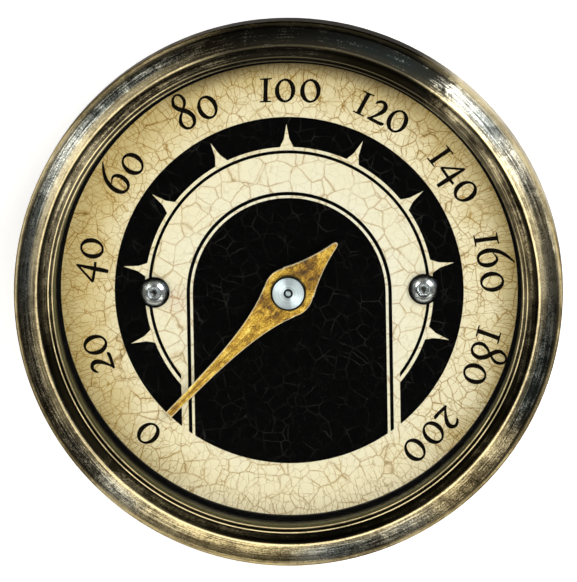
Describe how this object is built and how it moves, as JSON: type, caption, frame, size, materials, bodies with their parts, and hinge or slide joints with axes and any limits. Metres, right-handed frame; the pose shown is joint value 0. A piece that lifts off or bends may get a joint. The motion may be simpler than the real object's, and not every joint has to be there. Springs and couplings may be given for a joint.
{
  "type": "motorcycle gauge",
  "caption": "Round motorcycle speed gauge: antiqued bezel, crazed cream dial with numerals, brass pointer on a geared stepper, dark display arch, sealed housing with rear socket.",
  "frame": {"origin": "centre of the flat back, on the gauge's axis", "axes": "+Z is the way the dial faces, along the gauge's axis; +Y points to the top of the dial and +X to its right side"},
  "size_m": [0.08, 0.08, 0.036],
  "materials": {
    "antique_brass": "burnished antique finish, turned",
    "dark_anodised": "dark anodised, turned",
    "clear_glass": "clear, flat",
    "black_rubber": "matt",
    "olive_spacer": "satin, darkened",
    "aged_dial": "printed, crazed lacquer",
    "dial_ink": "printed ink",
    "black_plate": "matt black",
    "bright_screw": "polished",
    "plated_screw": "zinc plated",
    "brass_spacer": "machined",
    "aged_pointer": "brushed, mottled patina",
    "turned_cap": "turned bright",
    "black_hub": "moulded",
    "ground_steel": "ground",
    "gear_resin": "moulded, natural",
    "gear_brass": "cut",
    "magnet": "sintered",
    "motor_resin": "moulded",
    "soft_iron": "stamped",
    "bobbin_resin": "moulded",
    "copper_wire": "enamelled copper winding",
    "tinned_pin": "tinned",
    "circuit_board": "solder resist",
    "display_cell": "polarised",
    "display_frame": "moulded",
    "light_guide": "clear acrylic",
    "led_resin": "moulded",
    "contact_rubber": "layered",
    "chip_resin": "moulded",
    "crystal_can": "drawn can",
    "capacitor_can": "drawn can",
    "socket_resin": "moulded",
    "gold_contact": "gold plated"
  },
  "bodies": {
    "gauge": {"bezel": "antique_brass", "housing": "dark_anodised", "rear_cover": "dark_anodised", "lens": "clear_glass", "lens_seal": "black_rubber", "cover_seal": "black_rubber", "spacer_ring": "olive_spacer", "dial_face": "aged_dial", "dial_print": "dial_ink", "dial_plate": "black_plate", "dial_screws": "bright_screw", "standoff_screws": "plated_screw", "board_screws": "plated_screw", "cover_screws": "plated_screw", "connector_nut": "plated_screw", "standoffs": "brass_spacer", "motor_front_case": "motor_resin", "motor_rear_case": "motor_resin", "stator": "soft_iron", "coil_bobbins": "bobbin_resin", "coil_windings": "copper_wire", "motor_pins": "tinned_pin", "main_board": "circuit_board", "display_glass": "display_cell", "display_frame": "display_frame", "light_guide": "light_guide", "backlight_leds": "led_resin", "contact_strips": "contact_rubber", "processor": "chip_resin", "regulator": "chip_resin", "chip_resistors": "chip_resin", "crystal": "crystal_can", "capacitor": "capacitor_can", "connector_body": "socket_resin", "connector_pins": "gold_contact"},
    "pointer_unit": {"pointer": "aged_pointer", "pointer_cap": "turned_cap", "pointer_hub": "black_hub", "output_shaft": "ground_steel", "output_wheel": "gear_resin"},
    "idler": {"idler_wheel": "gear_resin", "idler_pinion": "gear_brass"},
    "rotor": {"rotor_magnet": "magnet", "rotor_pinion": "gear_brass"}
  },
  "joints": [
    {"name": "pointer_turn", "type": "hinge", "parent": "gauge", "child": "pointer_unit", "pos_m": [0, 0, 0.0311], "axis": [0, 0, -1], "range_deg": [0, 270]},
    {"name": "idler_turn", "type": "hinge", "parent": "gauge", "child": "idler", "pos_m": [0.005, -0.00866, 0.017], "axis": [0, 0, -1], "range_deg": [-2430, 0]},
    {"name": "rotor_turn", "type": "hinge", "parent": "gauge", "child": "rotor", "pos_m": [0, -0.01327, 0.015], "axis": [0, 0, -1], "range_deg": [0, 18225]}
  ],
  "couplings": [
    {"joint": "idler_turn", "follows": "pointer_turn", "ratio": -9},
    {"joint": "rotor_turn", "follows": "pointer_turn", "ratio": 67.5}
  ]
}
